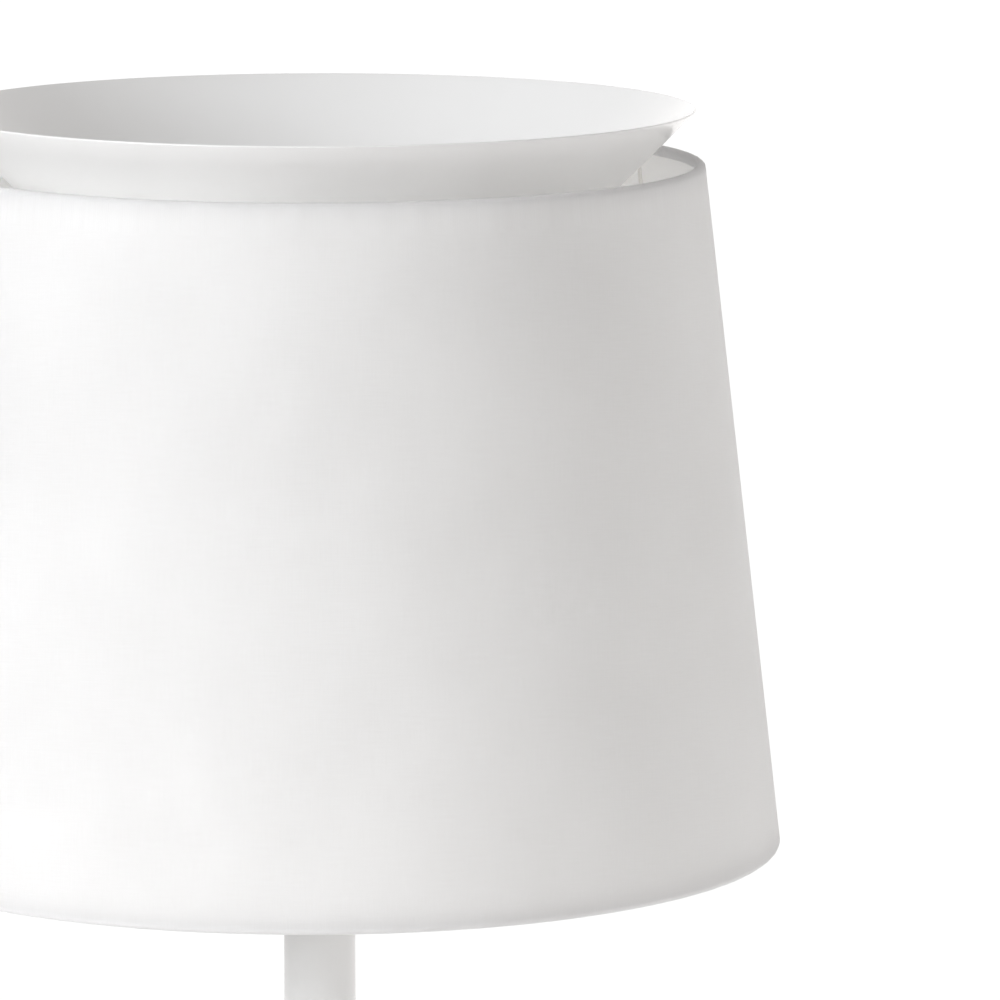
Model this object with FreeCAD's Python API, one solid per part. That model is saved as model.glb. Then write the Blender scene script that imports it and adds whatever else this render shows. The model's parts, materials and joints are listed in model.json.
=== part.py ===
"""Tripod floor lamp with a tapered fabric shade and an inner reflector cone.

Frame: +Z is up and the floor is z = 0. The origin is the point of the floor under the stem's axis.
One leg points along +Y (azimuth 90 degrees), the other two along 210 and 330 degrees.
All lengths are millimetres and all angles are degrees.
"""
import FreeCAD, Part
import math
import os

from FreeCAD import Placement, Rotation, Vector

# ---------------------------------------------------------------- driving dimensions
SHADE_BOTTOM_Z = 1190.5
SHADE_HEIGHT = 333.4
SHADE_BOTTOM_R = 225.0
SHADE_TOP_R = 187.0
FABRIC_T = 0.7
LINER_T = 0.5
RING_WIRE_R = 2.0
CARRIER_WIRE_R = 1.0
CARRIER_ARM_END_R = 31.0
CARRIER_BEND_R = 14.0
CARRIER_TURN = -0.7
NOTCH_FIT = 0.4
CARRIER_WASHER_R = 38.0
CARRIER_WASHER_T = 1.5

REFLECTOR_RIM_R = 182.6
REFLECTOR_RIM_Z = SHADE_BOTTOM_Z + SHADE_HEIGHT + 25.4
REFLECTOR_THROAT_R = 56.0
REFLECTOR_T = 1.0
REFLECTOR_SCREW_R = 2.0
REFLECTOR_SCREW_AT_R = REFLECTOR_THROAT_R + 7.0
BRACKET_T = 1.5
BRACKET_W = 12.0
BRACKET_TAB = 15.0
BRACKET_RING_R = 29.0

STEM_R = 17.5
STEM_WALL = 1.5
STEM_SEAT_Z = 1051.0
STEM_TOP_Z = 1291.0

LEG_AZIMUTHS = (90.0, 210.0, 330.0)
LEG_SPLAY = 10.5
LEG_TUBE_R = 11.0
LEG_TUBE_WALL = 1.5
PIVOT_R = 29.0
PIVOT_Z = 1035.0

HUB_R = 41.0
HUB_COLLAR_R = 23.0
HUB_BOTTOM_Z = 1013.0
HUB_SHOULDER_Z = 1047.0
HUB_TOP_Z = 1080.0
GLAND_BORE_R = 3.6
GLAND_STUB_R = 6.0
FLEX_WAY_R = 4.0
HEAD_POCKET_R = 7.2
HEAD_AT = 17.0
SET_SCREW_R = 2.5
SET_SCREW_Z = HUB_TOP_Z - 8.0

HOLDER_Z = STEM_TOP_Z + 3.0
BASE_R = 22.0
BASE_TOP_Z = HOLDER_Z + 32.0
BASE_FLOOR_T = 3.0
SKIRT_R = 20.0
SKIRT_BORE_R = 15.5
SKIRT_TOP_Z = HOLDER_Z + 75.0
HOLDER_HOLE_R = 20.3
THREAD_PITCH = 2.5
INSERT_Z = HOLDER_Z + 36.0
INSERT_TOP_Z = HOLDER_Z + 48.0
SHELL_R = 13.4
NIPPLE_R = 5.0
NIPPLE_BORE_R = 3.9
SWITCH_Z = HOLDER_Z + 18.0
SWITCH_BAR_R = 3.0
SWITCH_TRAVEL = 7.0
SWITCH_HALF = 28.0
WIRE_R = 1.1
TERMINAL_Y = 9.1
TERMINAL_HEIGHT = 16.0

BULB_TIP_Z = HOLDER_Z + 51.0
BULB_R = 30.0
CAP_TOP_Z = BULB_TIP_Z + 26.0
GLOBE_CENTRE_Z = BULB_TIP_Z + 76.0
GLOBE_FOOT_ANGLE = -26.0

# ---------------------------------------------------------------- fits and small sizes
TOUCH = 0.05  # gap between pieces that rest on each other or are glued
PIN_R = 4.0
PIN_FIT = 0.05
TANG_HALF = 10.0
TANG_T = 10.0
SLOT_T = 11.2
SHOULDER_DROP = 27.0
WASHER_T = 0.55
FOOT_WALL = 2.0
FOOT_FLOOR_T = 10.0
FOOT_OVERLAP = 26.0

# ---------------------------------------------------------------- worked out from the above
LEG_LENGTH = PIVOT_Z / math.cos(math.radians(LEG_SPLAY))
SHADE_TOP_Z = SHADE_BOTTOM_Z + SHADE_HEIGHT
SHADE_LEAN = math.atan2(SHADE_BOTTOM_R - SHADE_TOP_R, SHADE_HEIGHT)
HEM_BORE_R = RING_WIRE_R + TOUCH
HEM_R = HEM_BORE_R + FABRIC_T
BETWEEN_LEGS = tuple(a - 60.0 for a in LEG_AZIMUTHS)
CARRIER_WASHER_Z = HOLDER_Z + 45.0
CARRIER_TOP_Z = CARRIER_WASHER_Z + CARRIER_WASHER_T


# ---------------------------------------------------------------- helpers
def polar(r, degrees):
    """The point at radius r and that angle in a plane, as two numbers."""
    return r * math.cos(math.radians(degrees)), r * math.sin(math.radians(degrees))


def rz(r, z):
    """A point of a profile: radius r and height z, in the XZ plane."""
    return Vector(r, 0, z)


def line(a, b):
    return Part.LineSegment(a, b).toShape()


def arc(centre, r, start, end):
    """An arc of a profile about a centre, from one angle to another."""
    points = []
    for degrees in (start, (start + end) / 2, end):
        dr, dz = polar(r, degrees)
        points.append(rz(centre[0] + dr, centre[1] + dz))
    return Part.Arc(*points).toShape()


def turned(edges):
    """The solid made by turning a closed profile once round Z."""
    face = Part.Face(Part.Wire(edges))
    return face.revolve(Vector(0, 0, 0), Vector(0, 0, 1), 360)


def turned_points(points):
    """The same for a profile of straight lines through (radius, height) points."""
    corners = [rz(*p) for p in points]
    return turned([line(a, b) for a, b in zip(corners, corners[1:] + corners[:1])])


def rod(r, z0, z1, x=0.0, y=0.0):
    """An upright cylinder."""
    return Part.makeCylinder(r, z1 - z0, Vector(x, y, z0))


def tube(r_outer, r_inner, z0, z1):
    return rod(r_outer, z0, z1).cut(rod(r_inner, z0 - 1, z1 + 1))


def block(x0, x1, y0, y1, z0, z1):
    return Part.makeBox(x1 - x0, y1 - y0, z1 - z0, Vector(x0, y0, z0))


def bar(r, start, end):
    """A cylinder between two points."""
    along = end - start
    return Part.makeCylinder(r, along.Length, start, along)


def hexagon(across_flats, z0, z1):
    """An upright hexagonal prism."""
    corner_r = across_flats / math.sqrt(3)
    corners = [Vector(*polar(corner_r, 60 * k), z0) for k in range(7)]
    return Part.Face(Part.makePolygon(corners)).extrude(Vector(0, 0, z1 - z0))


def moved(shape, placement):
    copy = shape.copy()
    copy.Placement = placement.multiply(copy.Placement)
    return copy


def turn_z(shape, degrees):
    return moved(shape, Placement(Vector(0, 0, 0), Rotation(Vector(0, 0, 1), degrees)))


def along_radius(shape, r, z):
    """A shape built on the Z axis from z = 0 up, laid along +X from radius r at height z."""
    return moved(shape, Placement(Vector(r, 0, z), Rotation(Vector(0, 1, 0), 90)))


def leg_frame(shape, azimuth):
    """From the leg's own frame (pivot at the origin, foot down, X outwards) to the lamp's."""
    lean = Placement(Vector(PIVOT_R, 0, PIVOT_Z), Rotation(Vector(0, 1, 0), -LEG_SPLAY))
    return turn_z(moved(shape, lean), azimuth)


def wall_point(z, inward):
    """A point this far inwards from the shade's outer line, measured square to the line."""
    outer_r = SHADE_BOTTOM_R - (z - SHADE_BOTTOM_Z) * math.tan(SHADE_LEAN)
    return rz(outer_r - inward / math.cos(SHADE_LEAN), z)


def cone_z(r):
    """Height of the reflector's outer surface, a 45 degree cone, at radius r."""
    return REFLECTOR_RIM_Z - (REFLECTOR_RIM_R - r)


def strip(points, thickness, width):
    """A bent sheet-metal strip: a centre line of (radius, height) points, thick and wide."""
    half = thickness / 2
    sides = []
    for side in (half, -half):
        for k, (r, z) in enumerate(points):
            before = points[max(k - 1, 0)]
            after = points[min(k + 1, len(points) - 1)]
            turn_in = math.atan2(z - before[1], r - before[0]) if k else None
            turn_out = math.atan2(after[1] - z, after[0] - r) if after != (r, z) else turn_in
            turn_in = turn_out if turn_in is None else turn_in
            middle = (turn_in + turn_out) / 2
            reach = side / math.cos((turn_out - turn_in) / 2)
            sides.append(Vector(r - reach * math.sin(middle), -width / 2, z + reach * math.cos(middle)))
    outline = sides[: len(points)] + sides[len(points):][::-1]
    return Part.Face(Part.makePolygon(outline + outline[:1])).extrude(Vector(0, width, 0))


def rounded_path(points, bend_r):
    """Straight runs through the points, joined by tangent arcs."""
    edges = []
    start = points[0]
    for before, corner, after in zip(points, points[1:], points[2:]):
        a = (before - corner).normalize()
        b = (after - corner).normalize()
        half = a.getAngle(b) / 2
        reach = bend_r / math.tan(half)
        middle = corner + (a + b).normalize() * (bend_r / math.sin(half) - bend_r)
        edges.append(line(start, corner + a * reach))
        edges.append(Part.Arc(corner + a * reach, middle, corner + b * reach).toShape())
        start = corner + b * reach
    edges.append(line(start, points[-1]))
    return Part.Wire(edges)


def wire_along(points, bend_r, r):
    """A round wire of radius r along a rounded path."""
    path = rounded_path(points, bend_r)
    first = path.Edges[0]
    section = Part.Wire(Part.makeCircle(r, points[0], first.tangentAt(first.FirstParameter)))
    return path.makePipeShell([section], True, False)


# ---------------------------------------------------------------- shade
def hem_centre(top):
    """Centre of the ring wire that the fabric is rolled round, at the shade's top or bottom."""
    z = SHADE_TOP_Z - HEM_R if top else SHADE_BOTTOM_Z + HEM_R
    return wall_point(z, HEM_R)


def shade_ring(top):
    centre = hem_centre(top)
    return Part.makeTorus(centre.x, RING_WIRE_R, Vector(0, 0, centre.z))


def carrier_arm_points():
    """The carrier arm's route, from the top ring down the wall and in to the washer."""
    inward = HEM_R + RING_WIRE_R + CARRIER_WIRE_R
    low_z = CARRIER_TOP_Z + CARRIER_WIRE_R
    return [wall_point(SHADE_TOP_Z - HEM_R, inward), wall_point(low_z, inward), rz(CARRIER_ARM_END_R, low_z)]


def shade_fabric():
    """The laminated fabric cone, rolled inwards round the ring wire at both edges."""
    lean = math.degrees(SHADE_LEAN)
    tuck = 70.0
    hems = []
    for top in (True, False):
        c = hem_centre(top)
        hems.append((c.x, c.z))
    upper, lower = hems
    up_start, up_end = lean, 180 + tuck
    low_start, low_end = lean, lean - 180 - tuck

    def at(centre, r, degrees):
        dr, dz = polar(r, degrees)
        return rz(centre[0] + dr, centre[1] + dz)

    edges = [
        line(at(lower, HEM_R, low_start), at(upper, HEM_R, up_start)),
        arc(upper, HEM_R, up_start, up_end),
        line(at(upper, HEM_R, up_end), at(upper, HEM_BORE_R, up_end)),
        arc(upper, HEM_BORE_R, up_end, up_start),
        line(at(upper, HEM_BORE_R, up_start), at(lower, HEM_BORE_R, low_start)),
        arc(lower, HEM_BORE_R, low_start, low_end),
        line(at(lower, HEM_BORE_R, low_end), at(lower, HEM_R, low_end)),
        arc(lower, HEM_R, low_end, low_start),
    ]
    fabric = turned(edges)
    top, corner, _ = carrier_arm_points()
    above = top + (top - corner).normalize() * 2 * HEM_R
    below = top - (top - corner).normalize() * 4 * HEM_R
    notch_r = CARRIER_WIRE_R + NOTCH_FIT
    for azimuth in BETWEEN_LEGS:
        fabric = fabric.cut(turn_z(bar(notch_r, below, above), azimuth + CARRIER_TURN))
    return fabric


def shade_liner():
    """The stiff translucent film that the fabric is glued to, between the hems."""
    edge_gap = 3.2
    outer = FABRIC_T + TOUCH
    low, high = SHADE_BOTTOM_Z + HEM_R + edge_gap, SHADE_TOP_Z - HEM_R - edge_gap
    corners = [wall_point(low, outer), wall_point(high, outer)]
    corners += [wall_point(high, outer + LINER_T), wall_point(low, outer + LINER_T)]
    return turned_points([(c.x, c.z) for c in corners])


def carrier_arms():
    """Three wires welded to the top ring's inside, dropping down the wall to the washer."""
    arm = wire_along(carrier_arm_points(), CARRIER_BEND_R, CARRIER_WIRE_R)
    return [turn_z(arm, azimuth + CARRIER_TURN) for azimuth in BETWEEN_LEGS]


def carrier_washer():
    return tube(CARRIER_WASHER_R, HOLDER_HOLE_R, CARRIER_WASHER_Z, CARRIER_TOP_Z)


# ---------------------------------------------------------------- reflector
def square_to_cone(shape):
    """From a frame with its origin on the cone's outer surface and +Z up and inwards."""
    spot = Vector(REFLECTOR_SCREW_AT_R, 0, cone_z(REFLECTOR_SCREW_AT_R))
    return moved(shape, Placement(spot, Rotation(Vector(0, 1, 0), -45)))


def reflector_screw_hole():
    return square_to_cone(rod(REFLECTOR_SCREW_R + 0.2, -10, 10))


def reflector_cone():
    """A spun 45 degree cone, open at the throat, with its edges cut square to the sheet."""
    step = REFLECTOR_T / math.sqrt(2)
    outer = [(REFLECTOR_THROAT_R, cone_z(REFLECTOR_THROAT_R)), (REFLECTOR_RIM_R, REFLECTOR_RIM_Z)]
    inner = [(r - step, z + step) for r, z in outer]
    cone = turned_points(outer + inner[::-1])
    for azimuth in LEG_AZIMUTHS:
        cone = cone.cut(turn_z(reflector_screw_hole(), azimuth))
    return cone


def reflector_bracket():
    """A pressed ring on the lampholder with three legs that rise to tabs under the cone."""
    middle_z = CARRIER_TOP_Z + BRACKET_T / 2
    rise_r = REFLECTOR_THROAT_R - BRACKET_T / 2
    bend_z = cone_z(rise_r) - (BRACKET_T / 2 + TOUCH) * math.sqrt(2)
    route = [(BRACKET_RING_R - 3.0, middle_z), (rise_r, middle_z), (rise_r, bend_z)]
    route.append((rise_r + BRACKET_TAB, bend_z + BRACKET_TAB))
    arm = strip(route, BRACKET_T, BRACKET_W).cut(reflector_screw_hole())
    bracket = tube(BRACKET_RING_R, HOLDER_HOLE_R, CARRIER_TOP_Z, CARRIER_TOP_Z + BRACKET_T)
    for azimuth in LEG_AZIMUTHS:
        bracket = bracket.fuse(turn_z(arm, azimuth))
    return bracket.removeSplitter()


def reflector_screws():
    """Pan-head screws put in from inside the cone."""
    head_z = REFLECTOR_T + 3 * TOUCH
    head = rod(4.0, head_z, head_z + 2.4)
    head = head.makeFillet(1.6, [e for e in head.Edges if e.BoundBox.ZMin > head_z + 2.3])
    slot = block(-5, 5, -0.5, 0.5, head_z + 1.2, head_z + 5)
    screw = head.cut(slot).fuse(rod(REFLECTOR_SCREW_R, -7.0, head_z))
    return [turn_z(square_to_cone(screw), azimuth) for azimuth in LEG_AZIMUTHS]


def reflector_nuts():
    top = -BRACKET_T - 2 * TOUCH
    nut = hexagon(7.0, top - 3.2, top).cut(rod(REFLECTOR_SCREW_R + TOUCH, -9, 0))
    return [turn_z(square_to_cone(nut), azimuth) for azimuth in LEG_AZIMUTHS]


# ---------------------------------------------------------------- lampholder
def lampholder_base():
    """The lower cup, screwed on the nipple, with a hole each side for the switch bar."""
    wall = 2.4
    cup = tube(BASE_R, BASE_R - wall, HOLDER_Z, BASE_TOP_Z)
    cup = cup.fuse(rod(BASE_R, HOLDER_Z, HOLDER_Z + BASE_FLOOR_T)).removeSplitter()
    foot_edge = [e for e in cup.Edges if e.BoundBox.ZMax < HOLDER_Z + 0.1 and e.BoundBox.XMax > BASE_R - 1]
    cup = cup.makeFillet(2.0, foot_edge)
    cup = cup.cut(rod(NIPPLE_R + TOUCH, HOLDER_Z - 1, HOLDER_Z + BASE_FLOOR_T + 1))
    reach = Vector(BASE_R + 5, 0, 0)
    axis_point = Vector(0, 0, SWITCH_Z)
    return cup.cut(bar(SWITCH_BAR_R + 0.3, axis_point - reach, axis_point + reach))


def lampholder_skirt():
    """The threaded sleeve: a grip flange that the washers rest on, and a ring thread above."""
    edge = 1.0
    thread_depth = 0.8
    points = [(SKIRT_BORE_R, BASE_TOP_Z), (24.0 - edge, BASE_TOP_Z), (24.0, BASE_TOP_Z + edge)]
    points += [(24.0, CARRIER_WASHER_Z - edge), (24.0 - edge, CARRIER_WASHER_Z), (SKIRT_R, CARRIER_WASHER_Z)]
    z = CARRIER_WASHER_Z + 4.0
    while z + THREAD_PITCH < SKIRT_TOP_Z - 1:
        points += [(SKIRT_R, z), (SKIRT_R - thread_depth, z + THREAD_PITCH / 2), (SKIRT_R, z + THREAD_PITCH)]
        z += THREAD_PITCH
    points += [(SKIRT_R, SKIRT_TOP_Z - 1), (SKIRT_R - 1, SKIRT_TOP_Z), (SKIRT_BORE_R, SKIRT_TOP_Z)]
    tidy = [p for k, p in enumerate(points) if k == 0 or p != points[k - 1]]
    return turned_points(tidy)


def shade_ring_nut():
    """The ribbed ring that clamps the shade's washer and the reflector's bracket."""
    z0 = CARRIER_TOP_Z + BRACKET_T
    z1 = z0 + 8.0
    ring = turned_points([(HOLDER_HOLE_R, z0), (28.0, z0), (28.0, z1 - 2), (26.0, z1), (HOLDER_HOLE_R, z1)])
    rib_count = 24
    for k in range(rib_count):
        x, y = polar(28.6, 360 * k / rib_count)
        ring = ring.cut(rod(1.3, z0 - 1, z1 + 1, x, y))
    return ring


def lampholder_insert():
    """The insulating disc that carries the contacts."""
    disc = rod(SKIRT_BORE_R - TOUCH, INSERT_Z, INSERT_TOP_Z)
    for x in (-4.0, 4.0):
        disc = disc.cut(rod(1.6, INSERT_Z - 1, INSERT_Z + 7, x, 11.0))
    return disc.cut(rod(2.1, INSERT_Z - 1, INSERT_TOP_Z + 1))


def lampholder_shell():
    """The screw shell, shown as a plain tube at its thread's clear width."""
    wall = 0.5
    top, low = SKIRT_TOP_Z - 2, INSERT_TOP_Z + TOUCH
    return turned_points([(SHELL_R, low), (SHELL_R + wall, low), (SHELL_R + wall, top), (SHELL_R, top)])


def centre_contact():
    """The sprung tongue under the bulb's tip, with its rivet through the insert."""
    rivet = rod(2.0, INSERT_Z - 1, INSERT_TOP_Z + 0.6)
    low_z = INSERT_TOP_Z + 0.4
    high_z = BULB_TIP_Z - TOUCH - 0.3
    tongue = strip([(-2.0, low_z), (3.0, low_z), (7.0, high_z), (-3.5, high_z)], 0.5, 4.0)
    return rivet.fuse(tongue).removeSplitter()


def switch_bar():
    """The push-through bar, shown pushed towards +X, with its contact block in the middle."""
    x0 = -SWITCH_HALF + SWITCH_TRAVEL / 2
    x1 = SWITCH_HALF + SWITCH_TRAVEL / 2
    rod_shape = bar(SWITCH_BAR_R, Vector(x0, 0, SWITCH_Z), Vector(x1, 0, SWITCH_Z))
    rod_shape = rod_shape.makeFillet(1.2, [e for e in rod_shape.Edges if e.BoundBox.XLength < 0.01])
    middle = (x0 + x1) / 2
    carriage = block(middle - 6, middle + 6, -5, 5, SWITCH_Z - 4, SWITCH_Z + 4)
    return rod_shape.fuse(carriage).removeSplitter()


# ---------------------------------------------------------------- bulb
def globe_foot():
    """Radius and height where the globe meets the housing."""
    r, dz = polar(BULB_R, GLOBE_FOOT_ANGLE)
    return r, GLOBE_CENTRE_Z + dz


def bulb_globe():
    """The opal dome."""
    wall = 1.2
    centre = (0.0, GLOBE_CENTRE_Z)
    foot_outer = globe_foot()
    foot_inner = polar(BULB_R - wall, GLOBE_FOOT_ANGLE)
    foot_inner = (foot_inner[0], GLOBE_CENTRE_Z + foot_inner[1])
    edges = [
        arc(centre, BULB_R, GLOBE_FOOT_ANGLE, 90),
        line(rz(0, GLOBE_CENTRE_Z + BULB_R), rz(0, GLOBE_CENTRE_Z + BULB_R - wall)),
        arc(centre, BULB_R - wall, 90, GLOBE_FOOT_ANGLE),
        line(rz(*foot_inner), rz(*foot_outer)),
    ]
    return turned(edges)


def bulb_housing():
    """The tapered plastic housing over the driver, from the cap up to the globe."""
    wall = 2.0
    r, z = globe_foot()
    top = z - 0.5
    points = [(11.0, CAP_TOP_Z), (13.6, CAP_TOP_Z), (14.4, CAP_TOP_Z + 3), (r, top), (r - wall, top)]
    points += [(13.0, CAP_TOP_Z + 6), (11.0, CAP_TOP_Z + 4)]
    return turned_points(points)


def bulb_cap():
    """The screw cap, with its thread shown as rounded rings."""
    crest, root, foot = 13.05, 12.2, 11.0
    wall = 0.6
    z = BULB_TIP_Z + 5.0
    pitch = 3.6
    edges = []
    corner = rz(foot, z)
    for _ in range(5):
        crest_point, next_root = rz(crest, z + pitch / 2), rz(root, z + pitch)
        edges.append(Part.Arc(corner, crest_point, next_root).toShape())
        corner = next_root
        z += pitch
    top = CAP_TOP_Z - TOUCH
    edges.append(line(corner, rz(root, top)))
    edges.append(line(rz(root, top), rz(root - 1.1 - wall, top)))
    edges.append(line(rz(root - 1.1 - wall, top), rz(root - 1.1 - wall, BULB_TIP_Z + 5.0)))
    edges.append(line(rz(root - 1.1 - wall, BULB_TIP_Z + 5.0), rz(foot, BULB_TIP_Z + 5.0)))
    return turned(edges)


def bulb_insulator():
    z0, z1 = BULB_TIP_Z + 1.5, BULB_TIP_Z + 5.0
    return turned_points([(0, z0), (5.0, z0), (10.8, z1 - TOUCH), (0, z1 - TOUCH)])


def bulb_tip():
    tip = rod(4.5, BULB_TIP_Z, BULB_TIP_Z + 1.5 - TOUCH)
    return tip.makeFillet(0.9, [e for e in tip.Edges if e.BoundBox.ZMax < BULB_TIP_Z + 0.1])


def bulb_led_board():
    """The disc that carries the light sources, under the globe."""
    z = globe_foot()[1] - 3.0
    board = rod(21.0, z, z + 1.6)
    count = 10
    for k in range(count):
        x, y = polar(14.5, 360 * k / count)
        board = board.fuse(block(x - 1.6, x + 1.6, y - 1.6, y + 1.6, z + 1.6, z + 2.3))
    return board


def bulb_driver_board():
    z0, z1 = CAP_TOP_Z - 8.0, globe_foot()[1] - 3.5
    board = block(-9.0, 9.0, -0.8, 0.8, z0, z1)
    capacitor = rod(4.0, CAP_TOP_Z + 9, CAP_TOP_Z + 21, 0.0, -4.6)
    coil = block(-5.0, 5.0, 0.8, 7.8, CAP_TOP_Z + 10, CAP_TOP_Z + 19)
    return board.fuse(capacitor).fuse(coil)


# ---------------------------------------------------------------- stem
def stem_tube():
    return tube(STEM_R, STEM_R - STEM_WALL, STEM_SEAT_Z + TOUCH, STEM_TOP_Z)


def stem_top_plug():
    """The turned plug that closes the stem and takes the nipple."""
    spigot_r = STEM_R - STEM_WALL - TOUCH
    plug = rod(STEM_R, STEM_TOP_Z + TOUCH, HOLDER_Z - TOUCH)
    plug = plug.makeChamfer(0.6, [e for e in plug.Edges if e.BoundBox.ZMin > HOLDER_Z - 0.2])
    plug = plug.fuse(rod(spigot_r, STEM_TOP_Z - 12, STEM_TOP_Z + 1)).removeSplitter()
    return plug.cut(rod(NIPPLE_R + TOUCH, STEM_TOP_Z - 13, HOLDER_Z + 1))


def threaded_nipple():
    """The hollow rod that ties the lampholder to the stem's plug and passes the wires."""
    return tube(NIPPLE_R, NIPPLE_BORE_R, STEM_TOP_Z - 19, HOLDER_Z + 9)


def nipple_nuts():
    """One nut under the plug and one on the lampholder's floor."""
    low = hexagon(16.0, STEM_TOP_Z - 17, STEM_TOP_Z - 12 - TOUCH)
    floor = HOLDER_Z + BASE_FLOOR_T + TOUCH
    high = hexagon(16.0, floor, floor + 4)
    hole = rod(NIPPLE_R + TOUCH, STEM_TOP_Z - 30, HOLDER_Z + 30)
    return [low.cut(hole), high.cut(hole)]


def supply_wire(side):
    """One insulated core from the terminal block, up the stem, to the lampholder's insert."""
    x = 1.6 * side
    low = Vector(3.4 * side, TERMINAL_Y, STEM_SEAT_Z + TERMINAL_HEIGHT - 4)
    high = Vector(4.0 * side, 11.0, INSERT_Z + 5)
    points = [
        low,
        Vector(low.x, low.y, STEM_SEAT_Z + 40),
        Vector(x, 0, STEM_SEAT_Z + 80),
        Vector(x, 0, HOLDER_Z + 11),
        Vector(high.x, high.y, HOLDER_Z + 12),
        high,
    ]
    return wire_along(points, 4.0, WIRE_R)


def terminal_block():
    """The two-pole block on the hub's floor where the mains flex would be joined."""
    z0, z1 = STEM_SEAT_Z + TOUCH, STEM_SEAT_Z + TERMINAL_HEIGHT
    body = block(-7.0, 7.0, TERMINAL_Y - 4.5, TERMINAL_Y + 4.5, z0, z1)
    body = body.makeFillet(0.6, [e for e in body.Edges if e.BoundBox.ZLength > 10])
    for side in (-1, 1):
        body = body.cut(rod(WIRE_R + 0.1, z0 - 1, z1 + 1, 3.4 * side, TERMINAL_Y))
        for z in (z0 + 4.5, z1 - 4.5):
            mouth = Vector(3.4 * side, TERMINAL_Y - 6, z)
            body = body.cut(bar(1.3, mouth, mouth + Vector(0, 4.5, 0)))
    return body


# ---------------------------------------------------------------- hub
def leg_slot():
    """The space in the hub for one tang: open below and outwards, with a stop for the heel."""
    clear = 0.3
    low = HUB_BOTTOM_Z - PIVOT_Z - 5
    half = SLOT_T / 2
    below = block(-TANG_HALF - clear, 30, -half, half, low, 0)
    round_top = bar(TANG_HALF + clear, Vector(0, -half, 0), Vector(0, half, 0))
    slot = moved(below.fuse(round_top), Placement(Vector(PIVOT_R, 0, PIVOT_Z), Rotation()))
    heel = block(0, 30, -half, half, -8, TANG_HALF + TOUCH)
    lean = Placement(Vector(PIVOT_R, 0, PIVOT_Z), Rotation(Vector(0, 1, 0), -LEG_SPLAY))
    return slot.fuse(moved(heel, lean))


def pivot_bolt_way():
    """The bolt's hole across one slot, with a round pocket at each end."""
    centre = Vector(PIVOT_R, 0, PIVOT_Z)
    out = Vector(0, 45, 0)
    way = bar(PIN_R + PIN_FIT, centre - out, centre + out)
    for side in (-1, 1):
        pocket_floor = centre + Vector(0, HEAD_AT * side, 0)
        way = way.fuse(bar(HEAD_POCKET_R, pocket_floor, centre + out * side))
    return way


def hub_body():
    """The turned hub: a collar round the stem, a cone, and a drum slotted for the legs."""
    edge = 1.5
    points = [
        (0, HUB_BOTTOM_Z), (HUB_R - edge, HUB_BOTTOM_Z), (HUB_R, HUB_BOTTOM_Z + edge),
        (HUB_R, HUB_SHOULDER_Z), (HUB_COLLAR_R, HUB_SHOULDER_Z + HUB_R - HUB_COLLAR_R),
        (HUB_COLLAR_R, HUB_TOP_Z - 1), (HUB_COLLAR_R - 1, HUB_TOP_Z), (0, HUB_TOP_Z),
    ]
    hub = turned_points(points)
    rings = [e for e in hub.Edges if e.BoundBox.ZLength < 0.1]
    low, high = HUB_SHOULDER_Z - 0.1, HUB_TOP_Z - 2
    hub = hub.makeFillet(4.0, [e for e in rings if low < e.BoundBox.ZMin and e.BoundBox.ZMax < high])
    hub = hub.cut(rod(STEM_R + TOUCH, STEM_SEAT_Z, HUB_TOP_Z + 1))
    hub = hub.cut(rod(FLEX_WAY_R, HUB_BOTTOM_Z - 1, STEM_SEAT_Z + 1))
    hub = hub.cut(rod(GLAND_STUB_R, HUB_BOTTOM_Z - 1, HUB_BOTTOM_Z + 14))
    for azimuth in LEG_AZIMUTHS:
        hub = hub.cut(turn_z(leg_slot().fuse(pivot_bolt_way()), azimuth))
    for azimuth in BETWEEN_LEGS:
        screw_way = along_radius(Part.makeCylinder(SET_SCREW_R + TOUCH, 12), STEM_R - 1, SET_SCREW_Z)
        hub = hub.cut(turn_z(screw_way, azimuth))
    return hub


def stem_set_screws():
    """Grub screws through the collar that grip the stem."""
    length = HUB_COLLAR_R - STEM_R - 0.8
    screw = Part.makeCylinder(SET_SCREW_R, length).cut(hexagon(2.5, length - 2.5, length + 1))
    seated = along_radius(screw, STEM_R + TOUCH, SET_SCREW_Z)
    return [turn_z(seated, azimuth) for azimuth in BETWEEN_LEGS]


def cable_gland():
    """The bushing under the hub that the mains flex would enter through."""
    z = HUB_BOTTOM_Z
    body = rod(GLAND_STUB_R - TOUCH, z - 5, z + 12)
    body = body.fuse(hexagon(17.0, z - 5, z - TOUCH)).removeSplitter()
    nose = turned_points([(0, z - 16), (6.0, z - 16), (7.2, z - 12), (7.6, z - 5), (0, z - 5)])
    body = body.fuse(nose).removeSplitter()
    return body.cut(rod(GLAND_BORE_R, z - 20, z + 20))


def pivot_bolts():
    """Shoulder bolts that the legs turn on: head at one end, threaded for a nut at the other."""
    shank = bar(PIN_R, Vector(0, -HEAD_AT - 2, 0), Vector(0, 25, 0))
    head = bar(6.5, Vector(0, -HEAD_AT - TOUCH, 0), Vector(0, -HEAD_AT - TOUCH - 5.0, 0))
    socket = moved(hexagon(5.0, 2.2, 6.0), Placement(Vector(0, -HEAD_AT, 0), Rotation(Vector(1, 0, 0), 90)))
    bolt = shank.fuse(head).cut(socket)
    seat = Placement(Vector(PIVOT_R, 0, PIVOT_Z), Rotation())
    return [turn_z(moved(bolt, seat), azimuth) for azimuth in LEG_AZIMUTHS]


def pivot_nuts():
    nut = hexagon(12.0, 0, 6.0).cut(rod(PIN_R + TOUCH, -1, 7))
    seat = Placement(Vector(PIVOT_R, HEAD_AT + TOUCH, PIVOT_Z), Rotation(Vector(1, 0, 0), -90))
    return [turn_z(moved(nut, seat), azimuth) for azimuth in LEG_AZIMUTHS]


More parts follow.
